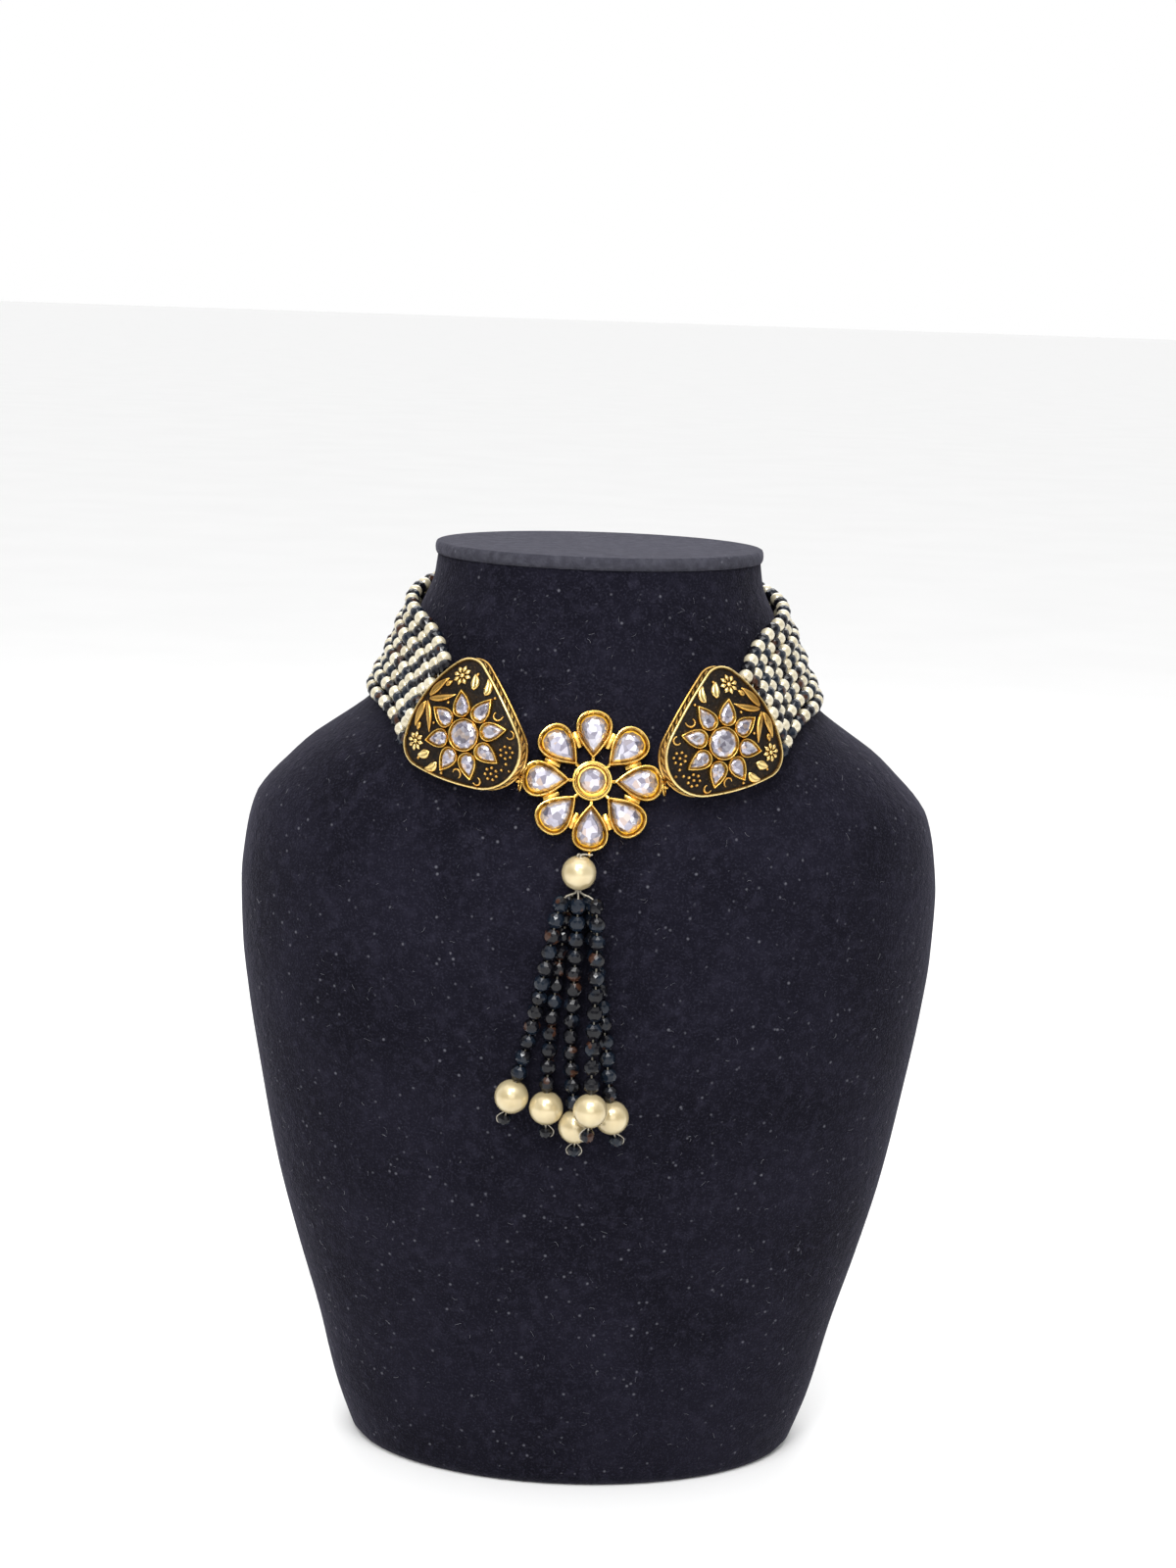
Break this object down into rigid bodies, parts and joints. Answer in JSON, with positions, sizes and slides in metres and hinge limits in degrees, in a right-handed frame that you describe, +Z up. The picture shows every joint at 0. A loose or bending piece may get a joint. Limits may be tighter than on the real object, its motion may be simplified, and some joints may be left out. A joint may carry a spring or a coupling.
{
  "type": "kundan choker necklace on a velvet neck bust",
  "caption": "Kundan choker laid round a dark velvet neck bust: pearl and black bead strands, two raised plaques, an openwork stone flower and a beaded tassel with pearl drops.",
  "frame": {"origin": "centre of the bust's flat base, below the axis of the neck", "axes": "+Z up through the neck, -Y towards the front of the chest, +X towards the viewer's right"},
  "size_m": [0.22, 0.1345, 0.292],
  "materials": {
    "velvet": "deep pile",
    "gold": "polished, worn",
    "antique_gold": "antique, darkened in the hollows",
    "enamel": "dark brown, satin",
    "stone": "foiled clear stone",
    "pearl": "pearl lustre",
    "black_bead": "faceted glass",
    "thread": "waxed cotton"
  },
  "bodies": {
    "root": {"bust_body": "velvet", "neck_disc": "velvet", "flower_setting": "gold", "flower_center_stone": "stone", "flower_petal_stone_1": "stone", "flower_petal_stone_2": "stone", "flower_petal_stone_3": "stone", "flower_petal_stone_4": "stone", "flower_petal_stone_5": "stone", "flower_petal_stone_6": "stone", "flower_petal_stone_7": "stone", "flower_petal_stone_8": "stone", "plaque_left": "antique_gold", "enamel_left": "enamel", "plaque_center_stone_left": "stone", "plaque_petal_stones_left": "stone", "link_left": "gold", "strand_left_1": "pearl", "strand_left_2": "pearl", "strand_left_3": "pearl", "strand_left_4": "pearl", "strand_left_5": "pearl", "strand_left_6": "pearl", "strand_left_7": "pearl", "strand_left_8": "pearl", "strand_threads_left": "thread", "plaque_right": "antique_gold", "enamel_right": "enamel", "plaque_center_stone_right": "stone", "plaque_petal_stones_right": "stone", "link_right": "gold", "strand_right_1": "pearl", "strand_right_2": "pearl", "strand_right_3": "pearl", "strand_right_4": "pearl", "strand_right_5": "pearl", "strand_right_6": "pearl", "strand_right_7": "pearl", "strand_right_8": "pearl", "strand_threads_right": "thread", "clasp": "antique_gold", "tassel_loop": "thread", "tassel_pearl": "pearl", "tassel_threads": "thread", "tassel_end_beads": "black_bead", "tassel_string_1": "black_bead", "tassel_drop_1": "pearl", "tassel_string_2": "black_bead", "tassel_drop_2": "pearl", "tassel_string_3": "black_bead", "tassel_drop_3": "pearl", "tassel_string_4": "black_bead", "tassel_drop_4": "pearl", "tassel_string_5": "black_bead", "tassel_drop_5": "pearl"}
  },
  "joints": []
}
